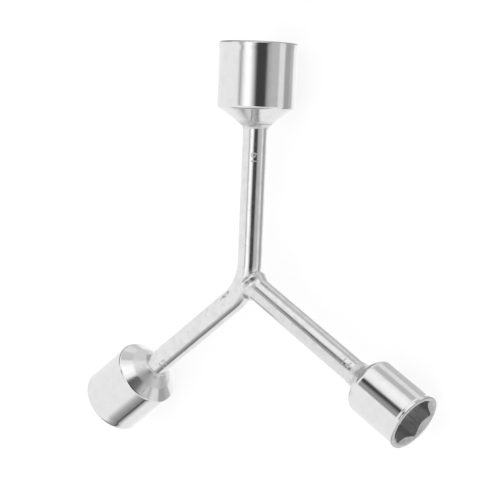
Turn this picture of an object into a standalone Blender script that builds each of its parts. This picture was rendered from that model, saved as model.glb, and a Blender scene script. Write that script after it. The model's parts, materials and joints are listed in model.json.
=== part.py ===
"""Three-way Y wrench with 19, 17 and 14 mm hex sockets, lying on a bench.

The arms are first laid out flat in the XY plane round the junction, where the axes of the
bent bar's two arms cross. The whole tool is then tipped until all three sockets touch the bench.
Sizes are in metres, angles in degrees unless a name says otherwise.
"""
import math
from dataclasses import dataclass

import bmesh
import bpy
from mathutils import Matrix, Vector

# Gap between pieces that touch on the real tool
CLEARANCE = 0.0003
# Extra length by which a cutter passes the surface it cuts
OVERRUN = 0.001

# Bars: the bent one and the straight branch welded to it, each with its angle from the top arm
BAR_DIAMETER = 0.008
BEND_RADIUS = 0.0174
BEND_SPREAD = 127.5
BRANCH_SPREAD = 118.0
BRANCH_OFFSET = 0.0017
BAR_CHAMFER = 0.0006

# Seat of each bar end in the back of its socket
SEAT_DEPTH = 0.005
SEAT_WEB = 0.0032

# Socket details shared by the three sizes
CORNER_SHARE = 0.97
DRILL_SHARE = 0.98
FLOOR_CONE_SHARE = 0.2
SHOULDER_ANGLE = 56.0
RIM_LAND = 0.0008
LEAD_IN_ANGLE = 45.0

# 19 mm socket, on the top arm
TOP_FLATS = 0.019
TOP_WALL = 0.002
TOP_REACH = 0.079
TOP_HEX_DEPTH = 0.0135
TOP_RELIEF = 0.0026
TOP_SHOULDER_ROUND = 0.0009
TOP_LIP = 0.00015
TOP_LIP_LENGTH = 0.003
TOP_RIM_ROUND = 0.0008
TOP_WELD_WIDTH = 0.0007
TOP_WELD_LENGTH = 0.0012
TOP_HEX_TURN = 0.0

# 17 mm socket, on the lower left arm
LEFT_FLATS = 0.017
LEFT_WALL = 0.00215
LEFT_REACH = 0.0768
LEFT_HEX_DEPTH = 0.0124
LEFT_RELIEF = 0.00245
LEFT_SHOULDER_ROUND = 0.0009
LEFT_LIP = 0.0001
LEFT_LIP_LENGTH = 0.003
LEFT_RIM_ROUND = 0.0012
LEFT_WELD_WIDTH = 0.0008
LEFT_WELD_LENGTH = 0.0012
LEFT_HEX_TURN = 10.0

# 14 mm socket, on the lower right arm
RIGHT_FLATS = 0.014
RIGHT_WALL = 0.00145
RIGHT_REACH = 0.0753
RIGHT_HEX_DEPTH = 0.0106
RIGHT_RELIEF = 0.0021
RIGHT_SHOULDER_ROUND = 0.003
RIGHT_LIP = 0.0006
RIGHT_LIP_LENGTH = 0.0024
RIGHT_RIM_ROUND = 0.0008
RIGHT_WELD_WIDTH = 0.0009
RIGHT_WELD_LENGTH = 0.003
RIGHT_HEX_TURN = 12.0

# Weld beads
WELD_TOE = 0.0002
BEAD_RADIUS = 0.0014
BEAD_PROUD_SHARE = 0.4
RIPPLE_SHARE = 0.07
RIPPLES = 16

# Facets
SOCKET_SIDES = 48
BAR_SIDES = 32
WELD_SIDES = 40
BEND_STEPS = 12
ROUND_STEPS = 4
BEAD_STEPS = 80
BEAD_RESOLUTION = 2
HEX_CORNERS = 6
SETTLING_ROUNDS = 8
SEARCH_ROUNDS = 40
SHARP_ANGLE = 30.0

UP = Vector((0, 0, 1))

# Directions of the arms in the plane of the Y
TOP_BEARING = 90.0
LEFT_BEARING = TOP_BEARING + BEND_SPREAD
RIGHT_BEARING = TOP_BEARING - BRANCH_SPREAD

# The bend that joins the top arm to the lower left one
BAR_RADIUS = BAR_DIAMETER / 2
BEND_TURN = math.radians(180.0 - BEND_SPREAD)
BEND_TANGENT = BEND_RADIUS * math.tan(BEND_TURN / 2)
BEND_REACH = BEND_RADIUS / math.cos(BEND_TURN / 2)


def towards(bearing):
    """Return the unit vector that points along a bearing in the plane of the Y."""
    angle = math.radians(bearing)
    return Vector((math.cos(angle), math.sin(angle), 0))


BEND_CENTRE = (towards(TOP_BEARING) + towards(LEFT_BEARING)).normalized() * BEND_REACH


@dataclass(frozen=True)
class Socket:
    """Driving sizes of one socket, with what follows from them."""

    name: str
    bearing: float
    offset: float
    flats: float
    wall: float
    reach: float
    hex_depth: float
    relief: float
    shoulder_round: float
    lip: float
    lip_length: float
    rim_round: float
    weld_width: float
    weld_length: float
    hex_turn: float

    @property
    def direction(self):
        """Unit vector from the junction towards the mouth."""
        return towards(self.bearing)

    @property
    def start(self):
        """Point on the arm's axis beside the junction."""
        return UP.cross(self.direction) * self.offset

    @property
    def corner_radius(self):
        """Radius at which the corners of the hex are cut short."""
        return CORNER_SHARE * self.flats / 2 / math.cos(math.pi / HEX_CORNERS)

    @property
    def drill_radius(self):
        """Radius of the round hole that the hex is broached in."""
        return DRILL_SHARE * self.flats / 2

    @property
    def barrel_radius(self):
        """Radius of the plain outside."""
        return self.corner_radius + self.wall

    @property
    def lip_radius(self):
        """Radius of the outside at the mouth."""
        return self.barrel_radius + self.lip

    @property
    def floor_cone(self):
        """Depth of the shallow cone in the floor of the recess."""
        return FLOOR_CONE_SHARE * self.drill_radius

    @property
    def length(self):
        """Length from the back face to the rim."""
        return SEAT_DEPTH + SEAT_WEB + self.floor_cone + self.relief + self.hex_depth

    @property
    def back(self):
        """Distance from the junction to the back face."""
        return self.reach - self.length

    @property
    def neck_radius(self):
        """Radius of the back face, where the neck weld ends."""
        return BAR_RADIUS + CLEARANCE + self.weld_width

    @property
    def shoulder(self):
        """Length of the cone from the back face to the barrel."""
        return (self.barrel_radius - self.neck_radius) / math.tan(math.radians(SHOULDER_ANGLE))

    @property
    def matrix(self):
        """Frame at the back face: local Z to the mouth, local X upwards."""
        across = self.direction.cross(UP)
        turn = Matrix((UP, across, self.direction)).transposed().to_4x4()
        return Matrix.Translation(self.start + self.direction * self.back) @ turn


SOCKETS = (
    Socket(
        name="socket_19",
        bearing=TOP_BEARING,
        offset=0,
        flats=TOP_FLATS,
        wall=TOP_WALL,
        reach=TOP_REACH,
        hex_depth=TOP_HEX_DEPTH,
        relief=TOP_RELIEF,
        shoulder_round=TOP_SHOULDER_ROUND,
        lip=TOP_LIP,
        lip_length=TOP_LIP_LENGTH,
        rim_round=TOP_RIM_ROUND,
        weld_width=TOP_WELD_WIDTH,
        weld_length=TOP_WELD_LENGTH,
        hex_turn=TOP_HEX_TURN,
    ),
    Socket(
        name="socket_17",
        bearing=LEFT_BEARING,
        offset=0,
        flats=LEFT_FLATS,
        wall=LEFT_WALL,
        reach=LEFT_REACH,
        hex_depth=LEFT_HEX_DEPTH,
        relief=LEFT_RELIEF,
        shoulder_round=LEFT_SHOULDER_ROUND,
        lip=LEFT_LIP,
        lip_length=LEFT_LIP_LENGTH,
        rim_round=LEFT_RIM_ROUND,
        weld_width=LEFT_WELD_WIDTH,
        weld_length=LEFT_WELD_LENGTH,
        hex_turn=LEFT_HEX_TURN,
    ),
    Socket(
        name="socket_14",
        bearing=RIGHT_BEARING,
        offset=BRANCH_OFFSET,
        flats=RIGHT_FLATS,
        wall=RIGHT_WALL,
        reach=RIGHT_REACH,
        hex_depth=RIGHT_HEX_DEPTH,
        relief=RIGHT_RELIEF,
        shoulder_round=RIGHT_SHOULDER_ROUND,
        lip=RIGHT_LIP,
        lip_length=RIGHT_LIP_LENGTH,
        rim_round=RIGHT_RIM_ROUND,
        weld_width=RIGHT_WELD_WIDTH,
        weld_length=RIGHT_WELD_LENGTH,
        hex_turn=RIGHT_HEX_TURN,
    ),
)


def clear_scene():
    """Remove every object that the scene starts with."""
    for obj in list(bpy.data.objects):
        bpy.data.objects.remove(obj, do_unlink=True)


def metal(name, colour, roughness):
    """Return a plated metal, from a grey level and a roughness."""
    material = bpy.data.materials.new(name)
    material.use_nodes = True
    shader = material.node_tree.nodes["Principled BSDF"]
    shader.inputs["Base Color"].default_value = (colour, colour, colour, 1)
    shader.inputs["Metallic"].default_value = 1
    shader.inputs["Roughness"].default_value = roughness
    return material


def finished(name, bm, material=None):
    """Turn a bmesh into an object with outward faces and smooth round surfaces."""
    bmesh.ops.recalc_face_normals(bm, faces=bm.faces)
    mesh = bpy.data.meshes.new(name)
    bm.to_mesh(mesh)
    bm.free()
    mesh.shade_smooth()
    mesh.set_sharp_from_angle(angle=math.radians(SHARP_ANGLE))
    obj = bpy.data.objects.new(name, mesh)
    bpy.context.scene.collection.objects.link(obj)
    if material:
        mesh.materials.append(material)
    return obj


def as_cutter(obj):
    """Keep an object as a cutter that no render shows."""
    obj.hide_render = True
    obj.display_type = "WIRE"
    return obj


def cut(obj, cutter):
    """Cut one solid away from another."""
    modifier = obj.modifiers.new(cutter.name, "BOOLEAN")
    modifier.operation = "DIFFERENCE"
    modifier.solver = "EXACT"
    modifier.object = cutter


def rounded(before, corner, after, radius):
    """Return the points of an arc that rounds a corner of an outline.

    The arc touches both straight sides. Where the outline does not turn, the corner stays.
    """
    first = (before - corner).normalized()
    second = (after - corner).normalized()
    half = first.angle(second) / 2
    if radius == 0 or math.isclose(half, math.pi / 2):
        return [corner]
    middle = corner + (first + second).normalized() * radius / math.sin(half)
    tangent = radius / math.tan(half)
    start = corner + first * tangent - middle
    end = corner + second * tangent - middle
    sweep = start.angle_signed(end)
    points = []
    for step in range(ROUND_STEPS + 1):
        spoke = start.copy()
        spoke.rotate(Matrix.Rotation(-sweep * step / ROUND_STEPS, 2))
        points.append(middle + spoke)
    return points


def outline_of(corners):
    """Return an outline from (radius, height, rounding) corners, with each corner rounded."""
    places = [Vector((radius, height)) for radius, height, rounding in corners]
    points = [places[0]]
    for index in range(1, len(corners) - 1):
        rounding = corners[index][2]
        points += rounded(places[index - 1], places[index], places[index + 1], rounding)
    points.append(places[-1])
    return points


def turned(name, points, sides, closed, material):
    """Spin an outline of (radius, height) points about the Z axis into a solid."""
    bm = bmesh.new()
    verts = [bm.verts.new((point.x, 0, point.y)) for point in points]
    edges = [bm.edges.new(pair) for pair in zip(verts, verts[1:])]
    if closed:
        edges.append(bm.edges.new((verts[-1], verts[0])))
    bmesh.ops.spin(
        bm,
        geom=verts + edges,
        cent=(0, 0, 0),
        axis=UP,
        angle=math.tau,
        steps=sides,
        use_merge=True,
    )
    bmesh.ops.remove_doubles(bm, verts=bm.verts, dist=CLEARANCE / sides)
    return finished(name, bm, material)


def socket_corners(socket):
    """Return the corners of a socket's turned outline, from the recess floor to the bar seat."""
    rim = socket.length
    land_inner = socket.lip_radius - socket.rim_round - RIM_LAND
    lead_in = land_inner - socket.drill_radius
    floor = rim - socket.hex_depth - socket.relief
    lip_start = rim - socket.lip_length
    lip_full = rim - socket.lip_length / 2
    seat_radius = BAR_RADIUS + CLEARANCE
    return (
        (0, floor - socket.floor_cone, 0),
        (socket.drill_radius, floor, 0),
        (socket.drill_radius, rim - lead_in / math.tan(math.radians(LEAD_IN_ANGLE)), 0),
        (land_inner, rim, 0),
        (socket.lip_radius, rim, socket.rim_round),
        (socket.lip_radius, lip_full, socket.rim_round),
        (socket.barrel_radius, lip_start, socket.rim_round),
        (socket.barrel_radius, socket.shoulder, socket.shoulder_round),
        (socket.neck_radius, 0, 0),
        (seat_radius, 0, 0),
        (seat_radius, SEAT_DEPTH, 0),
        (0, SEAT_DEPTH, 0),
    )


def broach(socket):
    """Return the hex cutter of a socket: long flats, with the corners cut short."""
    half_flat = math.acos(socket.flats / 2 / socket.corner_radius)
    bm = bmesh.new()
    ring = []
    for side in range(HEX_CORNERS):
        middle = math.radians(socket.hex_turn) + math.tau * (side + 0.5) / HEX_CORNERS
        for angle in (middle - half_flat, middle + half_flat):
            x = socket.corner_radius * math.cos(angle)
            y = socket.corner_radius * math.sin(angle)
            ring.append(bm.verts.new((x, y, socket.length - socket.hex_depth)))
    floor = bm.faces.new(ring)
    top = bmesh.ops.extrude_face_region(bm, geom=[floor])["geom"]
    raised = [item for item in top if isinstance(item, bmesh.types.BMVert)]
    bmesh.ops.translate(bm, verts=raised, vec=UP * (socket.hex_depth + OVERRUN))
    return as_cutter(finished(f"broach_{socket.name}", bm))


def make_socket(socket, material):
    """Return one socket, turned from its outline and broached."""
    points = outline_of(socket_corners(socket))
    obj = turned(socket.name, points, SOCKET_SIDES, False, material)
    cutter = broach(socket)
    cutter.parent = obj
    cut(obj, cutter)
    return obj


def make_neck_weld(socket, material):
    """Return the fillet weld that closes the corner between a bar and the back of its socket."""
    inner = BAR_RADIUS + CLEARANCE
    toe = Vector((inner + WELD_TOE, -CLEARANCE - socket.weld_length))
    foot = Vector((socket.neck_radius, -CLEARANCE))
    slope = (socket.barrel_radius - socket.neck_radius) / socket.shoulder
    knee = Vector((toe.x, foot.y - (foot.x - toe.x) / slope))
    points = [Vector((inner, toe.y)), Vector((inner, foot.y))]
    steps = 2 * ROUND_STEPS
    for step in range(steps + 1):
        t = step / steps
        points.append(foot * (1 - t) ** 2 + knee * 2 * t * (1 - t) + toe * t**2)
    name = socket.name.replace("socket", "neck_weld")
    return turned(name, points, WELD_SIDES, True, material)


def bar_end(socket):
    """Return the distance from the junction to the end of the bar in a socket's seat."""
    return socket.back + SEAT_DEPTH - CLEARANCE


def grown(bm, rim, vector, share):
    """Extend a tube from its open rim by a vector, scale the new rim, and return it."""
    made = bmesh.ops.extrude_edge_only(bm, edges=rim)["geom"]
    verts = [item for item in made if isinstance(item, bmesh.types.BMVert)]
    bmesh.ops.translate(bm, verts=verts, vec=vector)
    centre = sum((vert.co for vert in verts), Vector()) / len(verts)
    space = Matrix.Translation(-centre)
    bmesh.ops.scale(bm, verts=verts, vec=Vector((1, 1, 1)) * share, space=space)
    return [item for item in made if isinstance(item, bmesh.types.BMEdge)]


def bar_tip(start, direction, radius):
    """Return a bmesh that holds one flat end of a bar, and the rim of that end."""
    bm = bmesh.new()
    bmesh.ops.create_circle(bm, cap_ends=True, segments=BAR_SIDES, radius=radius)
    turn = Matrix((UP, direction.cross(UP), direction)).transposed().to_4x4()
    bmesh.ops.transform(bm, matrix=Matrix.Translation(start) @ turn, verts=bm.verts)
    return bm, list(bm.edges)


def capped(bm, rim):
    """Close a tube at its open rim."""
    bmesh.ops.contextual_create(bm, geom=rim)
    return bm


def bent_bar_mesh(top, left, radius, chamfer):
    """Return the bar of the top and lower left arms as a bmesh, from its lower left end."""
    small = (radius - chamfer) / radius
    inwards = -left.direction
    bm, rim = bar_tip(left.direction * bar_end(left), inwards, radius * small)
    if chamfer:
        rim = grown(bm, rim, inwards * chamfer, 1 / small)
    rim = grown(bm, rim, inwards * (bar_end(left) - BEND_TANGENT - chamfer), 1)
    bend = bmesh.ops.spin(
        bm,
        geom=rim,
        cent=BEND_CENTRE,
        axis=UP,
        angle=BEND_TURN,
        steps=BEND_STEPS,
    )
    rim = [item for item in bend["geom_last"] if isinstance(item, bmesh.types.BMEdge)]
    rim = grown(bm, rim, top.direction * (bar_end(top) - BEND_TANGENT - chamfer), 1)
    if chamfer:
        rim = grown(bm, rim, top.direction * chamfer, small)
    return capped(bm, rim)


def branch_bar_mesh(right, radius, chamfer):
    """Return the straight bar of the lower right arm as a bmesh, from inside the bend."""
    small = (radius - chamfer) / radius
    depth = BEND_REACH - BEND_RADIUS
    bm, rim = bar_tip(right.start - right.direction * depth, right.direction, radius)
    rim = grown(bm, rim, right.direction * (depth + bar_end(right) - chamfer), 1)
    if chamfer:
        rim = grown(bm, rim, right.direction * chamfer, small)
    return capped(bm, rim)


def bend_offset(point):
    """Return the vector to a point from the nearest point on the bent bar's axis."""
    level = Vector((point.x, point.y, 0))
    nearest = None
    for bearing in (TOP_BEARING, LEFT_BEARING):
        along = max(level.dot(towards(bearing)), BEND_TANGENT)
        foot = towards(bearing) * along
        if nearest is None or (level - foot).length < (level - nearest).length:
            nearest = foot
    spoke = level - BEND_CENTRE
    if abs(spoke.angle(-BEND_CENTRE)) < BEND_TURN / 2:
        nearest = BEND_CENTRE + spoke.normalized() * BEND_RADIUS
    return point - nearest


def cope_point(right, radial):
    """Return where a line along the branch bar's surface comes out of the bent bar."""
    inside = BEND_RADIUS - BEND_REACH
    outside = BAR_DIAMETER
    surface = right.start + radial * BAR_RADIUS
    for _ in range(SEARCH_ROUNDS):
        middle = (inside + outside) / 2
        if bend_offset(surface + right.direction * middle).length < BAR_RADIUS + CLEARANCE:
            inside = middle
        else:
            outside = middle
    return surface + right.direction * outside


def bead_curve(right):
    """Return a closed curve object that runs round the cope, as thick as the rippled bead."""
    curve = bpy.data.curves.new("bead", "CURVE")
    curve.dimensions = "3D"
    curve.bevel_depth = BEAD_RADIUS
    curve.bevel_resolution = BEAD_RESOLUTION
    spline = curve.splines.new("POLY")
    spline.points.add(BEAD_STEPS - 1)
    spline.use_cyclic_u = True
    across = right.direction.cross(UP)
    for step, point in enumerate(spline.points):
        angle = math.tau * step / BEAD_STEPS
        radial = UP * math.cos(angle) + across * math.sin(angle)
        place = cope_point(right, radial)
        normal = bend_offset(place).normalized()
        proud = BEAD_RADIUS * BEAD_PROUD_SHARE * math.sin(normal.angle(radial))
        place += (normal + radial).normalized() * proud
        point.co = (*place, 1)
        point.radius = 1 + RIPPLE_SHARE * math.cos(angle * RIPPLES)
    return bpy.data.objects.new("bead", curve)


def make_junction_weld(right, cutters, material):
    """Return the bead that fills the corner round the cope, clear of both bars."""
    guide = bead_curve(right)
    bpy.context.scene.collection.objects.link(guide)
    graph = bpy.context.evaluated_depsgraph_get()
    bm = bmesh.new()
    bm.from_mesh(bpy.data.meshes.new_from_object(guide.evaluated_get(graph)))
    bpy.data.objects.remove(guide)
    weld = finished("junction_weld", bm, material)
    for cutter in cutters:
        cut(weld, cutter)
    return weld


def lowest_point(socket, down):
    """Return the point of a socket's outside that lies furthest down."""
    places = []
    rim = socket.reach - socket.rim_round
    shoulder = socket.back + socket.shoulder
    for along, radius in ((shoulder, socket.barrel_radius), (rim, socket.lip_radius)):
        spoke = (down - socket.direction * down.dot(socket.direction)).normalized()
        places.append(socket.start + socket.direction * along + spoke * radius)
    return max(places, key=down.dot)


def lay_on_bench(wrench, solids):
    """Tip the wrench until its three sockets touch the bench, with the origin under its middle."""
    down = -UP
    for _ in range(SETTLING_ROUNDS):
        first, second, third = (lowest_point(socket, down) for socket in SOCKETS)
        down = -(second - first).cross(third - first).normalized()
    wrench.rotation_mode = "QUATERNION"
    wrench.rotation_quaternion = down.rotation_difference(-UP)
    bpy.context.view_layer.update()
    places = [obj.matrix_world @ vert.co for obj in solids for vert in obj.data.vertices]
    low = Vector(map(min, zip(*places)))
    high = Vector(map(max, zip(*places)))
    wrench.location = (-(low.x + high.x) / 2, -(low.y + high.y) / 2, -low.z)


def main():
    """Build the wrench and lay it on the bench."""
    clear_scene()
    bar_metal = metal("bar_chrome", 0.82, 0.09)
    socket_metal = metal("socket_chrome", 0.84, 0.07)
    weld_metal = metal("weld_chrome", 0.76, 0.18)
    top, left, right = SOCKETS
    bent_bar = finished("bent_bar", bent_bar_mesh(top, left, BAR_RADIUS, BAR_CHAMFER), bar_metal)
    branch_bar = finished("branch_bar", branch_bar_mesh(right, BAR_RADIUS, BAR_CHAMFER), bar_metal)
    sleeve = BAR_RADIUS + CLEARANCE
    bent_sleeve = as_cutter(finished("bent_sleeve", bent_bar_mesh(top, left, sleeve, 0)))
    branch_sleeve = as_cutter(finished("branch_sleeve", branch_bar_mesh(right, sleeve, 0)))
    cut(branch_bar, bent_sleeve)
    weld = make_junction_weld(right, (bent_sleeve, branch_sleeve), weld_metal)
    wrench = bpy.data.objects.new("wrench", None)
    bpy.context.scene.collection.objects.link(wrench)
    solids = [bent_bar, branch_bar, weld]
    for socket in SOCKETS:
        for solid in (make_socket(socket, socket_metal), make_neck_weld(socket, weld_metal)):
            solid.matrix_basis = socket.matrix
            solids.append(solid)
    for obj in (*solids, bent_sleeve, branch_sleeve):
        obj.parent = wrench
    lay_on_bench(wrench, solids)


main()
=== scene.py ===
"""Looks of a three-way Y wrench in bright chrome plate, lying flat on a white floor.

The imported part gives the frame: which way each arm runs, and where its socket's rim lies. The
classes below model each sub-assembly more finely over that frame, dress it in chrome and light it
with a pale tent. Sizes are in metres and angles in degrees, unless a name says otherwise. A station
is a distance along an arm, from the junction where the axes of the bent bar's two arms cross.
"""

import json
import logging
import math
from dataclasses import dataclass, replace
from enum import Enum
from functools import cache
from typing import Callable, NamedTuple, Sequence

import bmesh
import bpy
from bmesh.types import BMesh
from bpy.types import Material, Mesh, MeshPolygon, Node, NodeInputs, NodeOutputs
from bpy.types import NodeSocket, NodeTree, Object
from mathutils import Matrix, Quaternion, Vector
from mathutils.geometry import intersect_line_line


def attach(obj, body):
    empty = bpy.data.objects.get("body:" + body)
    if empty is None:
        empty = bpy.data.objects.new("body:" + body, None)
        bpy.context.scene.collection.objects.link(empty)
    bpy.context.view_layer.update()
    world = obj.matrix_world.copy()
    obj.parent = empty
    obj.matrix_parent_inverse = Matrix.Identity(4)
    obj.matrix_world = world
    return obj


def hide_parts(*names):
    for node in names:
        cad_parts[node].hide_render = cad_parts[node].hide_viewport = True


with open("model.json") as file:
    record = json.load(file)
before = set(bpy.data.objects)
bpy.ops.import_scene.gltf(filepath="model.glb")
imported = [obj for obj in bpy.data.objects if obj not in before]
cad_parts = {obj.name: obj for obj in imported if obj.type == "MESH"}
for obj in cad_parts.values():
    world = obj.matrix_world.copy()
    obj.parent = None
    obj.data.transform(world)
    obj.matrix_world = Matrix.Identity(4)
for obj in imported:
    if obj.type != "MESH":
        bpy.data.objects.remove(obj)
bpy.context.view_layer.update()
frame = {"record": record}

LOG = logging.getLogger("y_wrench")
BODY = "root"

# Attribute that holds each point's place on the piece as it was made, before it was bent or seated
LAY = "lay"
# Gap that the fixed frame keeps between pieces, which the weld beads close here
CLEARANCE = 0.0003
# Extra length by which a cutter passes the surface it cuts
OVERRUN = 0.001
# Distance from a rounded edge at which an extra ring of faces keeps the straight part straight
HOLD = 0.00015
# Shortest straight part that gets those rings
HELD_LENGTH = 3 * HOLD
# Points that lie closer than this are one point
MERGE = 0.000001
SHARP_ANGLE = 28.0
ROUND_STEPS = 8
HEX_CORNERS = 6
HALF_TURN = 180.0
WHITE = (1.0, 1.0, 1.0, 1.0)
# Ends of a mask, and of a mask the other way round
CLEAR_TO_FULL = (0.0, 1.0)
FULL_TO_CLEAR = (1.0, 0.0)
# What can feed a shader socket: another socket, or a value
Feed = NodeSocket | float | Sequence[float]


class Slot(str, Enum):
    """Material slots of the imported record."""

    BAR = "bar_chrome"
    SOCKET = "socket_chrome"
    WELD = "weld_chrome"


class Corner(NamedTuple):
    """One corner of a turned outline."""

    radius: float
    height: float
    rounding: float = 0.0


@dataclass(frozen=True)
class SocketSizes:
    """Driving sizes of one socket, with what follows from them."""

    name: str
    flats: float
    wall: float
    hex_depth: float
    relief: float
    shoulder_round: float
    lip: float
    lip_length: float
    rim_round: float
    # Rounding of the rim's outer edge and of the flare behind it
    edge_round: float
    weld_width: float
    weld_length: float
    hex_turn: float
    # How far up the cone, as a share, welding has roughened the plate
    scaled_share: float
    # What the plated lip is slimmer by than the fixed frame's
    lip_trim: float = 0.0
    corner_share: float = 0.97
    drill_share: float = 0.98
    floor_cone_share: float = 0.2
    shoulder_angle: float = 56.0
    lead_in_angle: float = 45.0
    rim_land: float = 0.0008
    seat_depth: float = 0.005
    seat_web: float = 0.0032

    @property
    def mount(self) -> str:
        """Name of the rim's mount in the record."""
        return f"rim_{self.name}"

    @property
    def corner_radius(self) -> float:
        """Radius at which the corners of the hex are cut short."""
        return self.corner_share * self.flats / 2 / math.cos(math.pi / HEX_CORNERS)

    @property
    def drill_radius(self) -> float:
        """Radius of the round hole that the hex is broached in."""
        return self.drill_share * self.flats / 2

    @property
    def barrel_radius(self) -> float:
        """Radius of the plain outside."""
        return self.corner_radius + self.wall

    @property
    def lip_radius(self) -> float:
        """Radius of the outside at the mouth."""
        return self.barrel_radius + self.lip

    @property
    def land_inner(self) -> float:
        """Radius at which the flat land of the rim ends and the lead-in begins."""
        return self.lip_radius - self.rim_round - self.rim_land

    @property
    def lead_in(self) -> float:
        """Depth of the cone that leads into the hex."""
        return (self.land_inner - self.drill_radius) / math.tan(math.radians(self.lead_in_angle))

    @property
    def floor_cone(self) -> float:
        """Depth of the shallow cone in the floor of the recess."""
        return self.floor_cone_share * self.drill_radius

    @property
    def length(self) -> float:
        """Length from the back face to the rim."""
        return self.seat_depth + self.seat_web + self.floor_cone + self.relief + self.hex_depth

    def neck_radius(self, bar_radius: float) -> float:
        """Radius of the back face, where the neck weld ends."""
        return bar_radius + CLEARANCE + self.weld_width

    def shoulder(self, bar_radius: float) -> float:
        """Length of the cone from the back face to the barrel."""
        rise = self.barrel_radius - self.neck_radius(bar_radius)
        return rise / math.tan(math.radians(self.shoulder_angle))


@dataclass(frozen=True)
class BarSizes:
    """Driving sizes of the two round bars."""

    diameter: float = 0.008
    bend_radius: float = 0.0174
    chamfer: float = 0.0006

    @property
    def radius(self) -> float:
        """Radius of both bars."""
        return self.diameter / 2


BARS = BarSizes()

SOCKET_19 = SocketSizes(
    name="19",
    flats=0.019,
    wall=0.002,
    hex_depth=0.0135,
    relief=0.0026,
    shoulder_round=0.0013,
    lip=0.00015,
    lip_length=0.003,
    rim_round=0.0008,
    edge_round=0.0008,
    weld_width=0.0007,
    weld_length=0.0012,
    hex_turn=0.0,
    scaled_share=0.28,
)
SOCKET_17 = SocketSizes(
    name="17",
    flats=0.017,
    wall=0.00215,
    hex_depth=0.0124,
    relief=0.00245,
    shoulder_round=0.001,
    lip=0.0001,
    lip_length=0.003,
    rim_round=0.0012,
    edge_round=0.0012,
    weld_width=0.0008,
    weld_length=0.0012,
    hex_turn=10.0,
    scaled_share=0.52,
)
SOCKET_14 = SocketSizes(
    name="14",
    flats=0.014,
    wall=0.00145,
    hex_depth=0.0106,
    relief=0.0021,
    shoulder_round=0.003,
    lip=0.0006,
    lip_length=0.0016,
    rim_round=0.0008,
    edge_round=0.00035,
    lip_trim=0.0004,
    weld_width=0.0009,
    weld_length=0.003,
    hex_turn=12.0,
    scaled_share=0.4,
)
SOCKETS = (SOCKET_19, SOCKET_17, SOCKET_14)


@dataclass(frozen=True)
class Arm:
    """Axis of one arm: where it starts beside the junction, which way it runs and how far."""

    start: Vector
    along: Vector
    up: Vector
    reach: float

    def mover(self, station: float) -> Callable[[Vector], Vector]:
        """Return the move that seats a piece: its Z towards the mouth, its X upwards.

        Args:
            station: Distance along the arm at which its origin comes to lie.

        Returns:
            A function that takes a point of the piece to its place.
        """
        across = self.along.cross(self.up)
        turn = Matrix((self.up, across, self.along)).transposed().to_4x4()
        matrix = Matrix.Translation(self.start + self.along * station) @ turn
        return lambda point: matrix @ point


class Skeleton:
    """Axes of the three arms and the bend between two of them, worked out from the rim mounts."""

    def __init__(self, record: dict) -> None:
        """Find the arms.

        Args:
            record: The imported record, whose mounts lie on the rim lands.
        """
        by_name = {mount["name"]: mount for mount in record["mounts"]}
        mounts = [by_name[sizes.mount] for sizes in SOCKETS]
        ways = [Vector(mount["axis"]).normalized() for mount in mounts]
        self.up = ways[0].cross(ways[1]).normalized()
        rims = []
        for sizes, mount in zip(SOCKETS, mounts):
            land = sizes.lip_radius - sizes.rim_round - sizes.rim_land / 2
            rims.append(Vector(mount["pos_m"]) - self.up * land)
        meeting = intersect_line_line(rims[0], rims[0] - ways[0], rims[1], rims[1] - ways[1])
        self.junction = (meeting[0] + meeting[1]) / 2
        self.arms = [self.arm(rim, along) for rim, along in zip(rims, ways)]
        self.top, self.left, self.right = self.arms
        self.bend_turn = math.pi - self.top.along.angle(self.left.along)
        self.bend_tangent = BARS.bend_radius * math.tan(self.bend_turn / 2)
        self.bend_reach = BARS.bend_radius / math.cos(self.bend_turn / 2)
        self.bisector = (self.top.along + self.left.along).normalized()
        self.bend_centre = self.junction + self.bisector * self.bend_reach
        # Station along the branch bar at which it would reach the axis of the bent one
        self.branch_root = BARS.bend_radius - self.bend_reach

    def arm(self, rim: Vector, along: Vector) -> Arm:
        """Return the arm to the middle of a rim, from its axis's point nearest the junction."""
        start = rim + along * (self.junction - rim).dot(along)
        return Arm(start=start, along=along, up=self.up, reach=(rim - start).length)

    @property
    def matrix(self) -> Matrix:
        """Frame at the junction: local Y along the top arm, local Z out of the plane of the Y."""
        turn = Matrix((self.top.along.cross(self.up), self.top.along, self.up)).transposed()
        return Matrix.Translation(self.junction) @ turn.to_4x4()

    def bent(self, point: Vector) -> Vector:
        """Return where a point of the straight bar goes when the bar is bent.

        Args:
            point: X upwards and Y across the bar, Z along it from the middle of the bend.

        Returns:
            The same point on the bent bar, in the row's frame.
        """
        half = self.bend_turn / 2
        angle = max(-half, min(half, point.z / BARS.bend_radius))
        turn = Quaternion(self.up, angle)
        along = turn @ (self.top.along - self.left.along).normalized()
        spoke = turn @ (-self.bisector * BARS.bend_radius)
        over = point.z - angle * BARS.bend_radius
        side = along.cross(self.up) * point.y + self.up * point.x
        return self.bend_centre + spoke + along * over + side

    def straight_station(self, station: float) -> float:
        """Return how far from the bend's middle a station lies along the straight bar."""
        return station - self.bend_tangent + BARS.bend_radius * self.bend_turn / 2

    def bar_offset(self, point: Vector) -> Vector:
        """Measure how a point lies beside the bent bar's axis.

        Args:
            point: The point, in the row's frame.

        Returns:
            The vector to it from the nearest point on the axis.
        """
        spoke = point - self.bend_centre
        level = spoke - self.up * spoke.dot(self.up)
        angle = (-self.bisector).angle(level)
        if angle < self.bend_turn / 2:
            return point - (self.bend_centre + level.normalized() * BARS.bend_radius)
        offsets = []
        for arm in (self.top, self.left):
            station = max((point - self.junction).dot(arm.along), self.bend_tangent)
            offsets.append(point - self.junction - arm.along * station)
        return min(offsets, key=lambda offset: offset.length)


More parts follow.
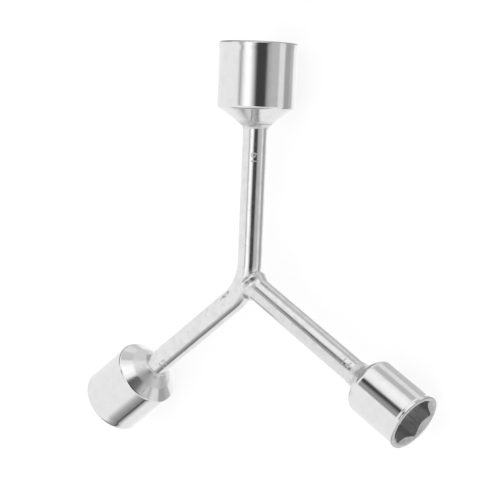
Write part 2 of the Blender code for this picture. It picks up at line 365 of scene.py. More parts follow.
def rounded(before: Vector, corner: Vector, after: Vector, radius: float) -> list[Vector]:
    """Return the points of an arc that rounds a corner of an outline.

    Args:
        before: The corner before this one.
        corner: The corner to round.
        after: The corner after this one.
        radius: Radius of the arc; at zero the corner stays.

    Returns:
        The arc's points in order.
    """
    first = (before - corner).normalized()
    second = (after - corner).normalized()
    half = first.angle(second) / 2
    if radius == 0 or math.isclose(half, math.pi / 2):
        return [corner]
    middle = corner + (first + second).normalized() * radius / math.sin(half)
    tangent = radius / math.tan(half)
    start = corner + first * tangent - middle
    sweep = start.angle_signed(corner + second * tangent - middle)
    points = []
    for step in range(ROUND_STEPS + 1):
        spoke = start.copy()
        spoke.rotate(Matrix.Rotation(-sweep * step / ROUND_STEPS, 2))
        points.append(middle + spoke)
    return points


def outline_of(corners: Sequence[Corner]) -> list[Vector]:
    """Return a turned outline with its corners rounded and its straight parts held straight.

    Args:
        corners: The corners in order; the first and the last stay sharp.

    Returns:
        The outline's points as (radius, height).
    """
    places = [Vector((corner.radius, corner.height)) for corner in corners]
    runs = [[places[0]]]
    for index in range(1, len(corners) - 1):
        around = places[index - 1 : index + 2]
        runs.append(rounded(*around, corners[index].rounding))
    runs.append([places[-1]])
    points = list(runs[0])
    for run in runs[1:]:
        step = run[0] - points[-1]
        if step.length > HELD_LENGTH:
            points.append(points[-1] + step.normalized() * HOLD)
            points.append(run[0] - step.normalized() * HOLD)
        points += run
    return points


def spun(points: Sequence[Vector], steps: int, closed: bool = False) -> BMesh:
    """Spin an outline about the Z axis.

    Args:
        points: The outline as (radius, height) points.
        steps: Number of faces round the axis.
        closed: Whether the last point joins the first.

    Returns:
        The closed solid as a bmesh.
    """
    bm = bmesh.new()
    verts = [bm.verts.new((point.x, 0, point.y)) for point in points]
    edges = [bm.edges.new(pair) for pair in zip(verts, verts[1:])]
    if closed:
        edges.append(bm.edges.new((verts[-1], verts[0])))
    bmesh.ops.spin(
        bm,
        geom=verts + edges,
        cent=(0, 0, 0),
        axis=(0, 0, 1),
        angle=math.tau,
        steps=steps,
        use_merge=True,
    )
    bmesh.ops.remove_doubles(bm, verts=bm.verts, dist=MERGE)
    return bm


def face_outwards(bm: BMesh) -> None:
    """Turn every face of a closed solid outwards.

    Args:
        bm: The solid.
    """
    bm.normal_update()
    bmesh.ops.recalc_face_normals(bm, faces=bm.faces)
    if bm.calc_volume(signed=True) < 0:
        bmesh.ops.reverse_faces(bm, faces=bm.faces)


def evaluated(obj: Object) -> Mesh:
    """Return a new mesh of an object as its modifiers and its text leave it."""
    graph = bpy.context.evaluated_depsgraph_get()
    return bpy.data.meshes.new_from_object(obj.evaluated_get(graph))


def solid(name: str, bm: BMesh) -> Object:
    """Turn a bmesh into an object whose faces point outwards.

    Args:
        name: Name of the object and of its mesh.
        bm: The solid, which is freed.

    Returns:
        The object.
    """
    face_outwards(bm)
    mesh = bpy.data.meshes.new(name)
    bm.to_mesh(mesh)
    bm.free()
    obj = bpy.data.objects.new(name, mesh)
    bpy.context.scene.collection.objects.link(obj)
    return obj


def cut_away(obj: Object, cutter: Object, tangled: bool = False) -> None:
    """Cut one solid away from another, and remove the cutter.

    Args:
        obj: The solid that is cut.
        cutter: The solid that is cut away.
        tangled: Whether the cutter runs through itself somewhere.
    """
    modifier = obj.modifiers.new("cut", "BOOLEAN")
    modifier.operation = "DIFFERENCE"
    modifier.solver = "EXACT"
    modifier.use_self = tangled
    modifier.object = cutter
    mesh = evaluated(obj)
    obj.modifiers.clear()
    before, obj.data = obj.data, mesh
    mesh.name = obj.name
    bpy.data.meshes.remove(before)
    bpy.data.objects.remove(cutter)


def hand_in(obj: Object, move: Callable[[Vector], Vector], slot: Slot, *nodes: str) -> None:
    """Put a piece in its place in the row's frame, and hand it to the frame there.

    Where each point lay before is stored first, so that patterns follow the piece.

    Args:
        obj: The piece, made about its own axis.
        move: Where a point goes.
        slot: The record's slot of the piece; not used.
        *nodes: The frame's nodes that it replaces.
    """
    lay = obj.data.attributes.new(LAY, "FLOAT_VECTOR", "POINT")
    for index, vert in enumerate(obj.data.vertices):
        lay.data[index].vector = vert.co
    bm = bmesh.new()
    bm.from_mesh(obj.data)
    for vert in bm.verts:
        vert.co = move(vert.co)
    face_outwards(bm)
    bm.to_mesh(obj.data)
    bm.free()
    obj.data.shade_smooth()
    obj.data.set_sharp_from_angle(angle=math.radians(SHARP_ANGLE))
    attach(obj, BODY)
    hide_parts(*nodes)
    LOG.info("%s: %d faces", obj.name, len(obj.data.polygons))


@dataclass(frozen=True)
class Wiring:
    """Short ways to add and join shader nodes in one tree."""

    tree: NodeTree

    def add(self, kind: str, **settings: object) -> Node:
        """Add a node.

        Args:
            kind: The node's type name.
            **settings: Properties of the node to set.

        Returns:
            The new node.
        """
        node = self.tree.nodes.new(kind)
        for name, value in settings.items():
            setattr(node, name, value)
        return node

    def join(self, source: Feed, target: NodeSocket) -> None:
        """Feed a socket from another socket, or set it to a value.

        Args:
            source: The other socket, or the value.
            target: The socket that is fed.
        """
        if isinstance(source, NodeSocket):
            self.tree.links.new(source, target)
        else:
            target.default_value = source

    def group(self, tree: NodeTree, feeds: dict[str, Feed]) -> NodeOutputs:
        """Add a node group.

        Args:
            tree: The shared group.
            feeds: What feeds its inputs, by their names, among other things.

        Returns:
            Its outputs.
        """
        node = self.add("ShaderNodeGroup", node_tree=tree)
        for target in node.inputs:
            self.join(feeds[target.name], target)
        return node.outputs

    def made(self, kind: str, *feeds: Feed, **settings: object) -> NodeSocket:
        """Add a node, and feed its inputs in order.

        Args:
            kind: The node's type name.
            *feeds: What feeds its inputs.
            **settings: Properties of the node to set.

        Returns:
            Its first output.
        """
        node = self.add(kind, **settings)
        for feed, target in zip(feeds, node.inputs):
            self.join(feed, target)
        return node.outputs[0]

    def math(self, operation: str, *values: Feed) -> NodeSocket:
        """Return the output of a new Math node that these values feed."""
        return self.made("ShaderNodeMath", *values, operation=operation)

    def ramp(
        self, value: Feed, source: Sequence[float], target: Sequence[Feed], smooth: bool = False
    ) -> NodeSocket:
        """Map a value from one range to another, and clamp it.

        Args:
            value: What is mapped.
            source: The range it comes from.
            target: The range it goes to.
            smooth: Whether the ends are eased.

        Returns:
            The mapped value.
        """
        kind = "SMOOTHSTEP" if smooth else "LINEAR"
        node = self.add("ShaderNodeMapRange", interpolation_type=kind)
        self.join(value, node.inputs["Value"])
        for end, name in zip((*source, *target), ("From Min", "From Max", "To Min", "To Max")):
            self.join(end, node.inputs[name])
        return node.outputs["Result"]

    def stretched(self, vector: Feed, scale: Sequence[float]) -> NodeSocket:
        """Scale a vector along each of its axes.

        Args:
            vector: The vector.
            scale: The factor for each axis.

        Returns:
            The scaled vector.
        """
        node = self.add("ShaderNodeMapping")
        self.join(vector, node.inputs["Vector"])
        self.join(scale, node.inputs["Scale"])
        return node.outputs["Vector"]

    def noise(self, vector: Feed, scale: Feed, detail: float) -> NodeSocket:
        """Add a Noise texture.

        Args:
            vector: Where the noise is read.
            scale: Its scale, in waves per metre.
            detail: How many finer layers it has.

        Returns:
            A value of about 0.5, give or take 0.2.
        """
        node = self.add("ShaderNodeTexNoise")
        self.join(vector, node.inputs["Vector"])
        self.join(scale, node.inputs["Scale"])
        self.join(detail, node.inputs["Detail"])
        return node.outputs[0]


class Groups:
    """Shader node groups that several finishes share, each built once."""

    # How many finer layers each noise has
    RELIEF_DETAIL = {"wave": 1.0, "grain": 2.0}
    CLOUD_DETAIL = 4.0
    SCRATCH_DETAIL = 3.0
    PIT_DETAIL = 2.0
    # Noise values at which each kind of wear begins and is full
    CLOUD_RANGE = (0.4, 0.68)
    SCRATCH_RANGE = (0.58, 0.7)
    PIT_RANGE = (0.42, 0.50)
    # What a piece's lay is scaled by, so that scratches and the pitted place run long along it
    SCRATCH_STRETCH = (1.0, 1.0, 0.06)
    PIT_STRETCH = (1.0, 1.0, 0.25)
    PIT_SCALE = 1100.0
    # Shares of the pitted place's reach between which its pits thin out
    PIT_EDGE = (0.5, 1.0)
    # A card fades from this many softnesses outside its edge to as many inside it
    CARD_EDGE = (-1.0, 1.0)

    @staticmethod
    def new(
        name: str, vectors: Sequence[str], values: Sequence[str], results: Sequence[str]
    ) -> tuple[NodeTree, Wiring, NodeOutputs, NodeInputs]:
        """Start a node group.

        Args:
            name: Name of the group.
            vectors: Names of the vectors that come into it.
            values: Names of the plain values that come into it.
            results: Names of the plain values that go out of it.

        Returns:
            The group, its wiring, what comes into it and what goes out of it.
        """
        tree = bpy.data.node_groups.new(name, "ShaderNodeTree")
        for names, way, kind in (
            (vectors, "INPUT", "NodeSocketVector"),
            (values, "INPUT", "NodeSocketFloat"),
            (results, "OUTPUT", "NodeSocketFloat"),
        ):
            for socket in names:
                tree.interface.new_socket(socket, in_out=way, socket_type=kind)
        wiring = Wiring(tree)
        given, made = wiring.add("NodeGroupInput"), wiring.add("NodeGroupOutput")
        return tree, wiring, given.outputs, made.inputs

    @classmethod
    @cache
    def relief(cls) -> NodeTree:
        """Make the unevenness of plated metal: long waves, and a finer grain on top of them.

        Returns:
            The group, whose output is a height.
        """
        values = ("wave_scale", "wave_height", "grain_scale", "grain_height")
        tree, wiring, given, made = cls.new("plate_relief", ("lay",), values, ("height",))
        heights = []
        for layer, detail in cls.RELIEF_DETAIL.items():
            noise = wiring.noise(given["lay"], given[f"{layer}_scale"], detail)
            heights.append(wiring.math("MULTIPLY", noise, given[f"{layer}_height"]))
        wiring.join(wiring.math("ADD", *heights), made["height"])
        return tree

    @classmethod
    @cache
    def wear(cls) -> NodeTree:
        """Make the masks of where the plate is clouded, scratched along its length, and pitted.

        Returns:
            The group, whose outputs are those masks.
        """
        vectors, values = ("lay", "pit_place"), ("cloud_scale", "scratch_scale", "pit_reach")
        marks = ("cloud", "scratches", "pits")
        tree, wiring, given, made = cls.new("plate_wear", vectors, values, marks)
        cloud = wiring.noise(given["lay"], given["cloud_scale"], cls.CLOUD_DETAIL)
        long_lay = wiring.stretched(given["lay"], cls.SCRATCH_STRETCH)
        streak = wiring.noise(long_lay, given["scratch_scale"], cls.SCRATCH_DETAIL)
        wiring.join(wiring.ramp(cloud, cls.CLOUD_RANGE, CLEAR_TO_FULL, True), made["cloud"])
        wiring.join(wiring.ramp(streak, cls.SCRATCH_RANGE, CLEAR_TO_FULL, True), made["scratches"])
        away = wiring.add("ShaderNodeVectorMath", operation="DISTANCE")
        for name, target in zip(vectors, away.inputs):
            wiring.join(wiring.stretched(given[name], cls.PIT_STRETCH), target)
        near = wiring.math("DIVIDE", away.outputs["Value"], given["pit_reach"])
        speck = wiring.noise(given["lay"], cls.PIT_SCALE, cls.PIT_DETAIL)
        pitted = wiring.ramp(near, cls.PIT_EDGE, FULL_TO_CLEAR, True)
        specks = wiring.ramp(speck, cls.PIT_RANGE, CLEAR_TO_FULL, True)
        wiring.join(wiring.math("MULTIPLY", pitted, specks), made["pits"])
        return tree

    @classmethod
    @cache
    def card(cls) -> NodeTree:
        """Make a soft-edged card of the light tent, as a mask over directions in degrees.

        Returns:
            The group, whose output is the mask.
        """
        angles = ("azimuth", "elevation")
        values = [f"{angle}{end}" for angle in angles for end in ("", "_middle", "_half")]
        tree, wiring, given, made = cls.new("tent_card", (), (*values, "softness"), ("mask",))
        masks = []
        for angle in angles:
            away = wiring.math("SUBTRACT", given[angle], given[f"{angle}_middle"])
            away = wiring.math("ABSOLUTE", wiring.math("WRAP", away, HALF_TURN, -HALF_TURN))
            inside = wiring.math("SUBTRACT", given[f"{angle}_half"], away)
            share = wiring.math("DIVIDE", inside, given["softness"])
            masks.append(wiring.ramp(share, cls.CARD_EDGE, CLEAR_TO_FULL, True))
        wiring.join(wiring.math("MULTIPLY", *masks), made["mask"])
        return tree


@dataclass(frozen=True)
class Plate:
    """Bright chrome plate over steel: its grey, its gloss, and how evenly it lies."""

    name: str
    grey: float
    dull_grey: float
    roughness: float
    cloud_roughness: float
    wave_scale: float
    grain_scale: float
    cloud_scale: float
    scratch_scale: float
    scratch_roughness: float = 0.05
    wave_height: float = 0.00004
    grain_height: float = 0.000003
    # What the lay is scaled by for the waves and the grain
    lay_scale: tuple[float, float, float] = (1.0, 1.0, 1.0)
    scratch_shade: float = 0.04
    # The one pitted place of a piece, here by default well away from it
    pit_place: tuple[float, float, float] = (0.0, 0.0, -1.0)
    pit_reach: float = 0.0009
    pit_shade: float = 0.55
    # Inside this radius the plate lies over steel that welding has roughened
    scaled_radius: float = 0.0
    scaled_fade: float = 0.0012
    scaled_roughness: float = 0.3

    @cache
    def material(self) -> Material:
        """Build the material, once.

        Returns:
            A metal whose grey, roughness and normal all vary over the surface.
        """
        material = bpy.data.materials.new(self.name)
        material.use_nodes = True
        wiring = Wiring(material.node_tree)
        shader = material.node_tree.nodes["Principled BSDF"]
        wiring.join(1.0, shader.inputs["Metallic"])
        lay = wiring.add("ShaderNodeAttribute", attribute_name=LAY).outputs["Vector"]
        wear = wiring.group(Groups.wear(), vars(self) | {"lay": lay})
        grey = wiring.ramp(wear["cloud"], CLEAR_TO_FULL, (self.grey, self.dull_grey))
        for mark, shade in (("scratches", self.scratch_shade), ("pits", self.pit_shade)):
            kept = wiring.ramp(wear[mark], CLEAR_TO_FULL, (1.0, 1.0 - shade))
            grey = wiring.math("MULTIPLY", grey, kept)
        wiring.join(grey, shader.inputs["Base Color"])
        cloud = wiring.math("MULTIPLY", wear["cloud"], self.cloud_roughness)
        scratch = wiring.math("MULTIPLY", wear["scratches"], self.scratch_roughness)
        rough = wiring.math("ADD", wiring.math("ADD", cloud, scratch), self.roughness)
        if self.scaled_radius > 0:
            away = wiring.add("ShaderNodeVectorMath", operation="LENGTH")
            wiring.join(wiring.stretched(lay, (1.0, 1.0, 0.0)), away.inputs[0])
            fade = (self.scaled_radius - self.scaled_fade, self.scaled_radius)
            scale = wiring.ramp(away.outputs["Value"], fade, (self.scaled_roughness, 0.0), True)
            rough = wiring.math("ADD", rough, scale)
        wiring.join(rough, shader.inputs["Roughness"])
        lay = wiring.stretched(lay, self.lay_scale)
        height = wiring.group(Groups.relief(), vars(self) | {"lay": lay})["height"]
        bump = wiring.add("ShaderNodeBump")
        wiring.join(1.0, bump.inputs["Distance"])
        wiring.join(height, bump.inputs["Height"])
        wiring.join(bump.outputs["Normal"], shader.inputs["Normal"])
        return material


SOCKET_PLATE = Plate(
    name="socket_plate",
    grey=0.80,
    dull_grey=0.77,
    roughness=0.07,
    cloud_roughness=0.04,
    wave_scale=170.0,
    grain_scale=1300.0,
    cloud_scale=260.0,
    scratch_scale=5200.0,
    lay_scale=(1.0, 1.0, 0.12),
)
BAR_PLATE = Plate(
    name="bar_plate",
    grey=0.80,
    dull_grey=0.75,
    roughness=0.13,
    cloud_roughness=0.08,
    scratch_roughness=0.08,
    wave_scale=360.0,
    wave_height=0.00005,
    grain_scale=2200.0,
    cloud_scale=420.0,
    scratch_scale=4200.0,
    lay_scale=(1.0, 1.0, 0.3),
    pit_place=(0.00367, -0.0016, -0.0067),
)
BRANCH_PLATE = replace(
    BAR_PLATE, name="branch_plate", grey=0.75, dull_grey=0.70, pit_place=Plate.pit_place
)
JUNCTION_PLATE = Plate(
    name="junction_plate",
    grey=0.80,
    dull_grey=0.70,
    roughness=0.25,
    cloud_roughness=0.12,
    scratch_roughness=0.02,
    wave_scale=420.0,
    grain_scale=3000.0,
    grain_height=0.000002,
    cloud_scale=600.0,
    scratch_scale=3000.0,
)
NECK_PLATE = replace(
    JUNCTION_PLATE,
    name="neck_plate",
    grey=0.78,
    dull_grey=0.72,
    roughness=0.36,
    wave_height=0.00002,
)
MOUTH_PLATE = Plate(
    name="mouth_plate",
    grey=0.63,
    dull_grey=0.56,
    roughness=0.34,
    cloud_roughness=0.10,
    wave_scale=700.0,
    wave_height=0.00002,
    grain_scale=4200.0,
    cloud_scale=900.0,
    scratch_scale=3600.0,
)
LEAD_IN_PLATE = replace(
    MOUTH_PLATE, name="lead_in_plate", grey=0.76, dull_grey=0.66, roughness=0.55
)
RECESS_STEEL = Plate(
    name="recess_steel",
    grey=0.82,
    dull_grey=0.72,
    roughness=0.28,
    cloud_roughness=0.12,
    scratch_roughness=0.18,
    wave_scale=1500.0,
    wave_height=0.00006,
    grain_scale=5200.0,
    grain_height=0.00001,
    cloud_scale=500.0,
    scratch_scale=1500.0,
    lay_scale=(1.0, 1.0, 0.04),
    scratch_shade=0.4,
)
STAMP_PLATE = replace(
    MOUTH_PLATE,
    name="stamp_plate",
    grey=0.76,
    dull_grey=0.68,
    roughness=0.45,
    scratch_roughness=0.0,
    wave_scale=1800.0,
)


def dress(
    obj: Object,
    plates: Sequence[Plate],
    choose: Callable[[MeshPolygon], Plate | None] | None = None,
) -> None:
    """Give a piece its finishes.

    Args:
        obj: The piece, still about its own axis.
        plates: Its finishes, the main one first.
        choose: Which of the others a face takes, or none for the main one.
    """
    for plate in plates:
        obj.data.materials.append(plate.material())
    for face in obj.data.polygons if choose else ():
        face.material_index = plates.index(choose(face) or plates[0])


@dataclass(frozen=True)
class Socket:
    """One hex socket: a turned shell, broached from its mouth."""

    sizes: SocketSizes
    arm: Arm
    steps: int = 256
    # Faces that look out of the mouth have at least this share of their normal along the axis
    mouth_facing: float = 0.35

    def corners(self) -> list[Corner]:
        """Return the corners of the turned outline.

        Returns:
            The corners, from the floor of the recess round the outside to the bar's seat.
        """
        sizes = self.sizes
        rim = sizes.length
        floor = rim - sizes.hex_depth - sizes.relief
        seat = BARS.radius + CLEARANCE
        lip = sizes.lip_radius - sizes.lip_trim
        return [
            Corner(0, floor - sizes.floor_cone),
            Corner(sizes.drill_radius, floor),
            Corner(sizes.drill_radius, rim - sizes.lead_in),
            Corner(sizes.land_inner, rim),
            Corner(lip, rim, sizes.edge_round),
            Corner(lip, rim - sizes.lip_length / 2, sizes.edge_round),
            Corner(sizes.barrel_radius, rim - sizes.lip_length, sizes.edge_round),
            Corner(sizes.barrel_radius, sizes.shoulder(BARS.radius), sizes.shoulder_round),
            Corner(sizes.neck_radius(BARS.radius), 0),
            Corner(seat, 0),
            Corner(seat, sizes.seat_depth),
            Corner(0, sizes.seat_depth),
        ]

    def broach(self) -> Object:
        """Return the hex cutter: long flats, with the corners cut short.

        Returns:
            The cutter, which stands out of the mouth by the overrun.
        """
        sizes = self.sizes
        sharp = sizes.flats / 2 / math.cos(math.pi / HEX_CORNERS)
        bm = bmesh.new()
        bmesh.ops.create_cone(
            bm,
            cap_ends=True,
            segments=HEX_CORNERS,
            radius1=sharp,
            radius2=sharp,
            depth=sizes.hex_depth + OVERRUN,
        )
        heights = {edge: abs(edge.verts[0].co.z - edge.verts[1].co.z) for edge in bm.edges}
        upright = [edge for edge, height in heights.items() if height > OVERRUN]
        first = max(bm.verts, key=lambda vert: vert.co.x)
        lean = math.atan2(first.co.y, first.co.x)
        bmesh.ops.bevel(
            bm,
            geom=upright,
            offset=(sharp - sizes.corner_radius) / math.sin(math.pi / HEX_CORNERS),
            offset_type="OFFSET",
            affect="EDGES",
            segments=1,
            profile=0.5,
            material=-1,
        )
        # A corner of the new hex lies at the lean, and this turns it to where the socket's lies
        turn = Matrix.Rotation(math.radians(sizes.hex_turn) - lean, 4, "Z")
        middle = sizes.length - sizes.hex_depth + (sizes.hex_depth + OVERRUN) / 2
        bmesh.ops.transform(bm, matrix=Matrix.Translation((0, 0, middle)) @ turn, verts=bm.verts)
        return solid("broach", bm)

    def finish_at(self, face: MeshPolygon) -> Plate | None:
        """Return the finish of a face that is not covered by the main plate.

        Args:
            face: A face of the socket, still about its own axis.

        Returns:
            Its finish, or none under the main plate.
        """
        sizes = self.sizes
        radius, height = math.hypot(face.center.x, face.center.y), face.center.z
        lead_in_end = sizes.length - sizes.lead_in - CLEARANCE
        if face.normal.z > self.mouth_facing and height > lead_in_end:
            return LEAD_IN_PLATE if radius < sizes.land_inner else MOUTH_PLATE
        inside = radius < sizes.corner_radius + CLEARANCE and height > sizes.seat_depth + MERGE
        return RECESS_STEEL if inside else None

    def build(self) -> None:
        """Model the socket, dress it, and hand it to the frame."""
        sizes = self.sizes
        obj = solid(f"socket_{sizes.name}_shell", spun(outline_of(self.corners()), self.steps))
        cut_away(obj, self.broach())
        neck = sizes.neck_radius(BARS.radius)
        scaled = neck + (sizes.barrel_radius - neck) * sizes.scaled_share
        plate = replace(SOCKET_PLATE, name=f"socket_plate_{sizes.name}", scaled_radius=scaled)
        dress(obj, (plate, RECESS_STEEL, MOUTH_PLATE, LEAD_IN_PLATE), self.finish_at)
        seat = self.arm.mover(self.arm.reach - sizes.length)
        hand_in(obj, seat, Slot.SOCKET, f"socket_{sizes.name}")


@dataclass(frozen=True)
class NeckWeld:
    """The fillet weld that closes the corner between a bar and the back of its socket."""

    sizes: SocketSizes
    arm: Arm
    # How far its toe stands off the bar, how deep its root is hidden, and how far its foot laps
    # onto the shoulder
    toe: float = 0.0001
    root: float = 0.0004
    lap: float = 0.0002
    ripples: int = 7
    # Height of the ripples over the bead's own
    ripple_share: float = 0.05
    steps: int = 132
    curve_steps: int = 14

    def build(self) -> None:
        """Model the bead, dress it, and hand it to the frame."""
        sizes = self.sizes
        foot = Vector((sizes.neck_radius(BARS.radius) + self.lap, 0))
        toe = Vector((BARS.radius + self.toe, -CLEARANCE - sizes.weld_length))
        slope = math.tan(math.radians(sizes.shoulder_angle))
        knee = Vector((toe.x, foot.y - (foot.x - toe.x) / slope))
        points = [
            Vector((BARS.radius - self.root, toe.y)),
            Vector((BARS.radius - self.root, self.root)),
            Vector((foot.x - self.lap, self.root)),
        ]
        for step in range(self.curve_steps + 1):
            t = step / self.curve_steps
            points.append(foot * (1 - t) ** 2 + knee * 2 * t * (1 - t) + toe * t**2)
        bm = spun(points, self.steps, closed=True)
        for vert in bm.verts:
            radius = math.hypot(vert.co.x, vert.co.y)
            proud = max(0.0, radius - BARS.radius)
            angle = math.atan2(vert.co.y, vert.co.x)
            wave = abs(math.sin(angle * self.ripples / 2)) - 0.5
            grown = 1 + self.ripple_share * wave * proud / (foot.x - BARS.radius)
            vert.co.x *= grown
            vert.co.y *= grown
        obj = solid(f"neck_weld_{sizes.name}_bead", bm)
        dress(obj, (NECK_PLATE,))
        seat = self.arm.mover(self.arm.reach - sizes.length)
        hand_in(obj, seat, Slot.WELD, f"neck_weld_{sizes.name}")


@dataclass(frozen=True)
class Stamp:
    """Plain size number stamped into a bar, reading along it."""

    text: str
    station: float
    angle: float
    height: float = 0.0027
    depth: float = 0.00016
    slope: float = 0.0001
    slices: int = 7
    # Whether the sloped sides of its strokes run into one another
    tangled: bool = False
    # Height of a digit in the font, and what its strokes are widened by, over the number's height
    digit_share: float = 0.7
    stroke_share: float = 0.012
    # A face of the cut lies under this share of its depth, and this many heights from its station
    sunk_share: float = 1 / 6
    near_heights: float = 2.0

    def holds(self, place: Vector) -> bool:
        """Tell whether a point on the cut bar, about the bar's axis, lies in the number."""
        sunk = math.hypot(place.x, place.y) < BARS.radius - self.depth * self.sunk_share
        return sunk and abs(place.z - self.station) < self.height * self.near_heights

    def cutter(self) -> Object:
        """Return the number as a solid wrapped round the bar.

        Returns:
            The solid, to be cut away from the bar.
        """
        curve = bpy.data.curves.new("stamp", "FONT")
        curve.body = self.text
        curve.size = self.height / self.digit_share
        curve.align_x = "CENTER"
        curve.align_y = "CENTER"
        curve.extrude = self.depth - self.slope
        curve.bevel_depth = self.slope
        curve.bevel_resolution = 0
        curve.offset = self.height * self.stroke_share - self.slope
        words = bpy.data.objects.new("stamp", curve)
        bpy.context.scene.collection.objects.link(words)
        bm = bmesh.new()
        bm.from_mesh(evaluated(words))
        bpy.data.objects.remove(words)
        bmesh.ops.remove_doubles(bm, verts=bm.verts, dist=MERGE)
        for slice_index in range(1, self.slices):
            y = self.height * (slice_index / self.slices - 0.5)
            geom = list(bm.verts) + list(bm.edges) + list(bm.faces)
            bmesh.ops.bisect_plane(bm, geom=geom, plane_co=(0, y, 0), plane_no=(0, 1, 0))
        for vert in bm.verts:
            along, around, out = vert.co
            turn = math.radians(self.angle) - around / BARS.radius
            radius = BARS.radius + out
            vert.co = (radius * math.cos(turn), radius * math.sin(turn), self.station + along)
        return solid("stamp", bm)


# The number that stands on each arm, by the arm's own stations
STAMP_19 = Stamp("19", station=0.0420, angle=48.0)
STAMP_17 = Stamp("17", station=0.0455, angle=45.0)
STAMP_14 = Stamp("14", station=0.0470, angle=-28.0, tangled=True)


@dataclass(frozen=True)
class Bars:
    """The bent bar of the top and left arms, and the straight bar of the right one."""

    skeleton: Skeleton
    steps: int = 112
    bend_rings: int = 48

    def end(self, arm: Arm, sizes: SocketSizes) -> float:
        """Return the station of a bar's end, in the seat of its socket."""
        return arm.reach - sizes.length + sizes.seat_depth - CLEARANCE

    def model(
        self, name: str, stations: Sequence[float], stamps: Sequence[Stamp], plate: Plate
    ) -> Object:
        """Model a straight bar with chamfered ends, cut its numbers, and dress it.

        Args:
            name: Name of the piece.
            stations: Where its ends lie and, between them, its rings of points.
            stamps: Numbers on it, by stations of this bar.
            plate: Finish of the bar outside the cuts.

        Returns:
            The bar, about its own axis.
        """
        small = BARS.radius - BARS.chamfer
        first, *between, last = stations
        points = [Vector((0, first)), Vector((small, first))]
        rings = (first + BARS.chamfer, *between, last - BARS.chamfer)
        points += [Vector((BARS.radius, station)) for station in rings]
        points += [Vector((small, last)), Vector((0, last))]
        obj = solid(name, spun(points, self.steps))
        for stamp in stamps:
            cut_away(obj, stamp.cutter(), stamp.tangled)
        dress(
            obj,
            (plate, STAMP_PLATE),
            lambda face: STAMP_PLATE if any(run.holds(face.center) for run in stamps) else None,
        )
        return obj

    def build_bent(self) -> None:
        """Model the bent bar straight, then bend it and hand it to the frame."""
        bones = self.skeleton
        low = -bones.straight_station(self.end(bones.left, SOCKET_17))
        high = bones.straight_station(self.end(bones.top, SOCKET_19))
        half = BARS.bend_radius * bones.bend_turn / 2
        rings = [half * (2 * ring / self.bend_rings - 1) for ring in range(self.bend_rings + 1)]
        stamps = (
            replace(STAMP_19, station=bones.straight_station(STAMP_19.station)),
            replace(STAMP_17, station=-bones.straight_station(STAMP_17.station)),
        )
        obj = self.model("bent_bar_plated", (low, *rings, high), stamps, BAR_PLATE)
        hand_in(obj, bones.bent, Slot.BAR, "bent_bar")

    def build_branch(self) -> None:
        """Model the straight bar of the right arm, and hand it to the frame."""
        bones = self.skeleton
        inner = bones.branch_root + BARS.radius - CLEARANCE
        outer = self.end(bones.right, SOCKET_14)
        obj = self.model("branch_bar_plated", (inner, outer), (STAMP_14,), BRANCH_PLATE)
        hand_in(obj, bones.right.mover(0), Slot.BAR, "branch_bar")


